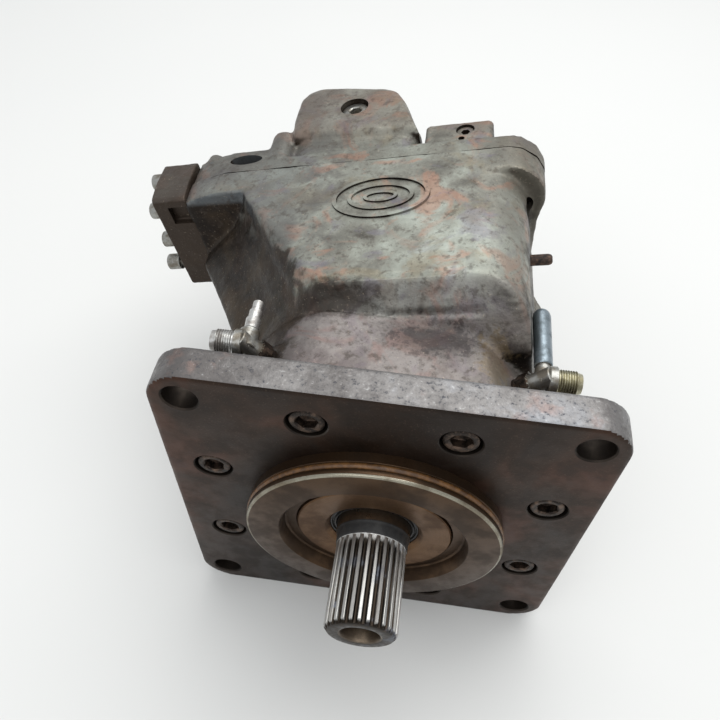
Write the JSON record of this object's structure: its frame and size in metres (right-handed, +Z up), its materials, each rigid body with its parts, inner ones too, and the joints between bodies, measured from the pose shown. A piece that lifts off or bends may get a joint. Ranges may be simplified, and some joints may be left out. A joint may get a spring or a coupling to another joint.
{
  "type": "axial piston pump",
  "caption": "Variable axial piston pump with a square mounting flange, splined shaft, swash plate rotating group, end cover and side control valve",
  "frame": {"origin": "middle of the whole pump's bounding box, at its lowest point", "axes": "+Y along the shaft from the drive end to the rear, +Z up, +X to the right seen from the drive end"},
  "size_m": [0.3582, 0.418, 0.2644],
  "materials": {
    "cast_iron": "bare casting with a heat-tinted, slightly oily skin",
    "flange_steel": "machined plate, browned and stained",
    "machined_steel": "machined and ground steel",
    "bronze": "bearing bronze",
    "dark_steel": "black oxide steel, worn",
    "zinc": "zinc plated steel",
    "rubber": "black nitrile rubber",
    "amber_rubber": "brown fluorocarbon rubber"
  },
  "bodies": {
    "housing": {"main_housing": "cast_iron", "end_cover": "cast_iron", "control_valve_block": "cast_iron", "regulator_block": "cast_iron", "flange_plate": "flange_steel", "seal_carrier": "machined_steel", "front_bearing_outer_ring": "machined_steel", "rear_bearing": "machined_steel", "cradle_bearing_left": "bronze", "cradle_bearing_right": "bronze", "valve_plate": "bronze", "stop_pin": "dark_steel", "flange_screw_1": "dark_steel", "flange_screw_2": "dark_steel", "flange_screw_3": "dark_steel", "flange_screw_4": "dark_steel", "flange_screw_5": "dark_steel", "flange_screw_6": "dark_steel", "flange_screw_7": "dark_steel", "flange_screw_8": "dark_steel", "valve_screw_1": "dark_steel", "valve_screw_2": "dark_steel", "valve_screw_3": "dark_steel", "valve_screw_4": "dark_steel", "end_cover_screw_1": "dark_steel", "end_cover_screw_2": "dark_steel", "end_cover_screw_3": "dark_steel", "end_cover_screw_4": "dark_steel", "tower_plug": "zinc", "left_fitting": "zinc", "right_fitting": "zinc", "shaft_seal": "rubber", "pilot_o_ring": "amber_rubber"},
    "rotor": {"drive_shaft": "machined_steel", "cylinder_barrel": "machined_steel", "barrel_spring": "dark_steel", "front_bearing_inner_ring": "machined_steel"},
    "roller_cage": {"front_bearing_rollers": "bronze"},
    "swash_plate": {"swash_cradle": "machined_steel"},
    "piston_group": {"piston_1": "machined_steel", "piston_2": "machined_steel", "piston_3": "machined_steel", "piston_4": "machined_steel", "piston_5": "machined_steel", "piston_6": "machined_steel", "piston_7": "machined_steel", "piston_8": "machined_steel", "piston_9": "machined_steel", "slipper_1": "bronze", "slipper_2": "bronze", "slipper_3": "bronze", "slipper_4": "bronze", "slipper_5": "bronze", "slipper_6": "bronze", "slipper_7": "bronze", "slipper_8": "bronze", "slipper_9": "bronze", "retainer_plate": "dark_steel"},
    "control_piston_body": {"control_piston": "machined_steel"},
    "spool": {"control_spool": "machined_steel"}
  },
  "joints": [
    {"name": "shaft_spin", "type": "hinge", "parent": "housing", "child": "rotor", "pos_m": [0.04206, -0.134, 0.132], "axis": [0, 1, 0], "continuous": true},
    {"name": "bearing_roll", "type": "hinge", "parent": "housing", "child": "roller_cage", "pos_m": [0.04206, -0.098, 0.132], "axis": [0, 1, 0], "continuous": true},
    {"name": "swash_tilt", "type": "hinge", "parent": "housing", "child": "swash_plate", "pos_m": [0.04206, -0.016, 0.132], "axis": [0.9744, 0, 0.225], "range_deg": [0, 17]},
    {"name": "piston_stroke", "type": "slide", "parent": "rotor", "child": "piston_group", "axis": [0, 1, 0], "range_m": [0, 0.0215]},
    {"name": "control_stroke", "type": "slide", "parent": "housing", "child": "control_piston_body", "axis": [0, 1, 0], "range_m": [0, 0.0305]},
    {"name": "spool_slide", "type": "slide", "parent": "housing", "child": "spool", "axis": [-0.225, 0, 0.9744], "range_m": [-0.003, 0.003], "stiffness_N_per_m": 1500}
  ],
  "couplings": [
    {"joint": "bearing_roll", "follows": "shaft_spin", "ratio": 0.45595},
    {"joint": "piston_stroke", "follows": "swash_tilt", "m_per_rad": 0.07245},
    {"joint": "control_stroke", "follows": "swash_tilt", "m_per_rad": 0.10248}
  ]
}
